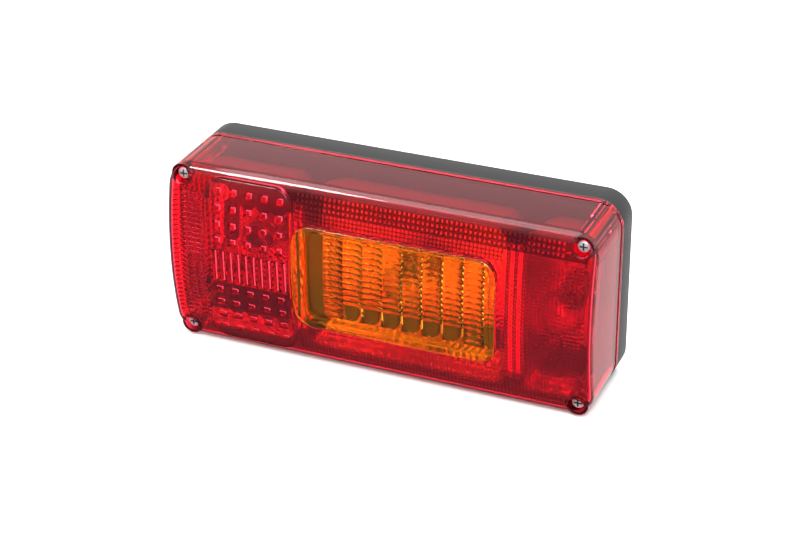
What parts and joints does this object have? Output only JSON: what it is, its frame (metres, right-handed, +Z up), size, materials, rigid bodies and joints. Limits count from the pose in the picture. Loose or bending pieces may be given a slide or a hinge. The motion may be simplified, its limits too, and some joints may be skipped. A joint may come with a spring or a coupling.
{
  "type": "trailer tail light",
  "caption": "Rectangular rear combination lamp for a trailer: red lens cover with an amber insert, bayonet bulbs in silvered bowls, and a black housing on mounting bolts.",
  "frame": {"origin": "centre of the flat back face that lies on the vehicle", "axes": "+Y out of the back face into the vehicle, so the lens faces -Y; +X to the right as seen from the front; +Z up"},
  "size_m": [0.24, 0.082, 0.106],
  "materials": {
    "housing_abs": "moulded black ABS with a fine grain",
    "red_lens": "clear deep red acrylic, polished outside, ribbed and dotted inside",
    "amber_lens": "clear amber acrylic with vertical flutes inside",
    "silvered": "vacuum-metallised plastic",
    "rubber": "matt black EPDM",
    "zinc_steel": "bright zinc plate",
    "brass": "stamped brass",
    "nickel_steel": "nickel plate",
    "bulb_glass": "clear blown glass",
    "solder": "dull tin solder",
    "tungsten": "drawn wire",
    "spring_steel": "drawn spring wire",
    "phenolic": "brown phenolic sheet"
  },
  "bodies": {
    "housing": {"base_housing": "housing_abs", "lens_seal": "rubber", "reflector_left": "silvered", "reflector_middle": "silvered", "reflector_right": "silvered", "earth_strip": "brass", "feed_strip_left": "brass", "socket_insulator_left": "phenolic", "bulb_socket_left": "nickel_steel", "contact_spring_left": "spring_steel", "feed_strip_middle": "brass", "socket_insulator_middle": "phenolic", "bulb_socket_middle": "nickel_steel", "contact_spring_middle": "spring_steel", "feed_strip_right": "brass", "socket_insulator_right": "phenolic", "bulb_socket_right": "nickel_steel", "contact_spring_right": "spring_steel", "mounting_bolt_left": "zinc_steel", "mounting_bolt_right": "zinc_steel", "cable_grommet": "rubber"},
    "lens": {"lens_cover": "red_lens", "amber_lens": "amber_lens", "red_insert_lens": "red_lens"},
    "screw_seal_top_left": {"screw_seal_top_left": "rubber"},
    "lens_screw_top_left": {"lens_screw_top_left": "zinc_steel"},
    "screw_seal_top_right": {"screw_seal_top_right": "rubber"},
    "lens_screw_top_right": {"lens_screw_top_right": "zinc_steel"},
    "screw_seal_bottom_left": {"screw_seal_bottom_left": "rubber"},
    "lens_screw_bottom_left": {"lens_screw_bottom_left": "zinc_steel"},
    "screw_seal_bottom_right": {"screw_seal_bottom_right": "rubber"},
    "lens_screw_bottom_right": {"lens_screw_bottom_right": "zinc_steel"},
    "contact_button_left": {"contact_button_left": "phenolic"},
    "bulb_left": {"bulb_tip_left": "solder", "bulb_cap_left": "brass", "bulb_glass_left": "bulb_glass", "bulb_filament_left": "tungsten"},
    "contact_button_middle": {"contact_button_middle": "phenolic"},
    "bulb_middle": {"bulb_tip_middle": "solder", "bulb_cap_middle": "brass", "bulb_glass_middle": "bulb_glass", "bulb_filament_middle": "tungsten"},
    "contact_button_right": {"contact_button_right": "phenolic"},
    "bulb_right": {"bulb_tip_right": "solder", "bulb_cap_right": "brass", "bulb_glass_right": "bulb_glass", "bulb_filament_right": "tungsten"},
    "mounting_washer_left": {"mounting_washer_left": "zinc_steel"},
    "mounting_nut_left": {"mounting_nut_left": "zinc_steel"},
    "mounting_washer_right": {"mounting_washer_right": "zinc_steel"},
    "mounting_nut_right": {"mounting_nut_right": "zinc_steel"}
  },
  "joints": [
    {"name": "lens_off", "type": "slide", "parent": "housing", "child": "lens", "axis": [0, -1, 0], "range_m": [0, 0.06]},
    {"name": "screw_travel_top_left", "type": "slide", "parent": "lens", "child": "screw_seal_top_left", "axis": [0, -1, 0], "range_m": [0, 0.0091]},
    {"name": "screw_turn_top_left", "type": "hinge", "parent": "screw_seal_top_left", "child": "lens_screw_top_left", "pos_m": [-0.111, -0.03, 0.0452], "axis": [0, -1, 0], "range_deg": [0, 2520]},
    {"name": "screw_travel_top_right", "type": "slide", "parent": "lens", "child": "screw_seal_top_right", "axis": [0, -1, 0], "range_m": [0, 0.0091]},
    {"name": "screw_turn_top_right", "type": "hinge", "parent": "screw_seal_top_right", "child": "lens_screw_top_right", "pos_m": [0.111, -0.03, 0.0452], "axis": [0, -1, 0], "range_deg": [0, 2520]},
    {"name": "screw_travel_bottom_left", "type": "slide", "parent": "lens", "child": "screw_seal_bottom_left", "axis": [0, -1, 0], "range_m": [0, 0.0091]},
    {"name": "screw_turn_bottom_left", "type": "hinge", "parent": "screw_seal_bottom_left", "child": "lens_screw_bottom_left", "pos_m": [-0.111, -0.03, -0.0452], "axis": [0, -1, 0], "range_deg": [0, 2520]},
    {"name": "screw_travel_bottom_right", "type": "slide", "parent": "lens", "child": "screw_seal_bottom_right", "axis": [0, -1, 0], "range_m": [0, 0.0091]},
    {"name": "screw_turn_bottom_right", "type": "hinge", "parent": "screw_seal_bottom_right", "child": "lens_screw_bottom_right", "pos_m": [0.111, -0.03, -0.0452], "axis": [0, -1, 0], "range_deg": [0, 2520]},
    {"name": "bulb_push_left", "type": "slide", "parent": "housing", "child": "contact_button_left", "axis": [0, 1, 0], "range_m": [0, 0.002], "stiffness_N_per_m": 1000, "springref_m": -0.004, "deforming": ["contact_spring_left"]},
    {"name": "bulb_twist_left", "type": "hinge", "parent": "contact_button_left", "child": "bulb_left", "pos_m": [-0.0825, -0.02, 0], "axis": [0, -1, 0], "range_deg": [0, 20]},
    {"name": "bulb_push_middle", "type": "slide", "parent": "housing", "child": "contact_button_middle", "axis": [0, 1, 0], "range_m": [0, 0.002], "stiffness_N_per_m": 1000, "springref_m": -0.004, "deforming": ["contact_spring_middle"]},
    {"name": "bulb_twist_middle", "type": "hinge", "parent": "contact_button_middle", "child": "bulb_middle", "pos_m": [0.0135, -0.02, 0], "axis": [0, -1, 0], "range_deg": [0, 20]},
    {"name": "bulb_push_right", "type": "slide", "parent": "housing", "child": "contact_button_right", "axis": [0, 1, 0], "range_m": [0, 0.002], "stiffness_N_per_m": 1000, "springref_m": -0.004, "deforming": ["contact_spring_right"]},
    {"name": "bulb_twist_right", "type": "hinge", "parent": "contact_button_right", "child": "bulb_right", "pos_m": [0.097, -0.02, 0], "axis": [0, -1, 0], "range_deg": [0, 20]},
    {"name": "nut_travel_left", "type": "slide", "parent": "housing", "child": "mounting_washer_left", "axis": [0, 1, 0], "range_m": [0, 0.012]},
    {"name": "nut_turn_left", "type": "hinge", "parent": "mounting_washer_left", "child": "mounting_nut_left", "pos_m": [-0.045, 0.004, 0], "axis": [0, 1, 0], "range_deg": [0, 4320]},
    {"name": "nut_travel_right", "type": "slide", "parent": "housing", "child": "mounting_washer_right", "axis": [0, 1, 0], "range_m": [0, 0.012]},
    {"name": "nut_turn_right", "type": "hinge", "parent": "mounting_washer_right", "child": "mounting_nut_right", "pos_m": [0.045, 0.004, 0], "axis": [0, 1, 0], "range_deg": [0, 4320]}
  ],
  "couplings": [
    {"joint": "screw_turn_top_left", "follows": "screw_travel_top_left", "rad_per_m": 4833.2},
    {"joint": "screw_turn_top_right", "follows": "screw_travel_top_right", "rad_per_m": 4833.2},
    {"joint": "screw_turn_bottom_left", "follows": "screw_travel_bottom_left", "rad_per_m": 4833.2},
    {"joint": "screw_turn_bottom_right", "follows": "screw_travel_bottom_right", "rad_per_m": 4833.2},
    {"joint": "nut_turn_left", "follows": "nut_travel_left", "rad_per_m": 6283.2},
    {"joint": "nut_turn_right", "follows": "nut_travel_right", "rad_per_m": 6283.2}
  ]
}
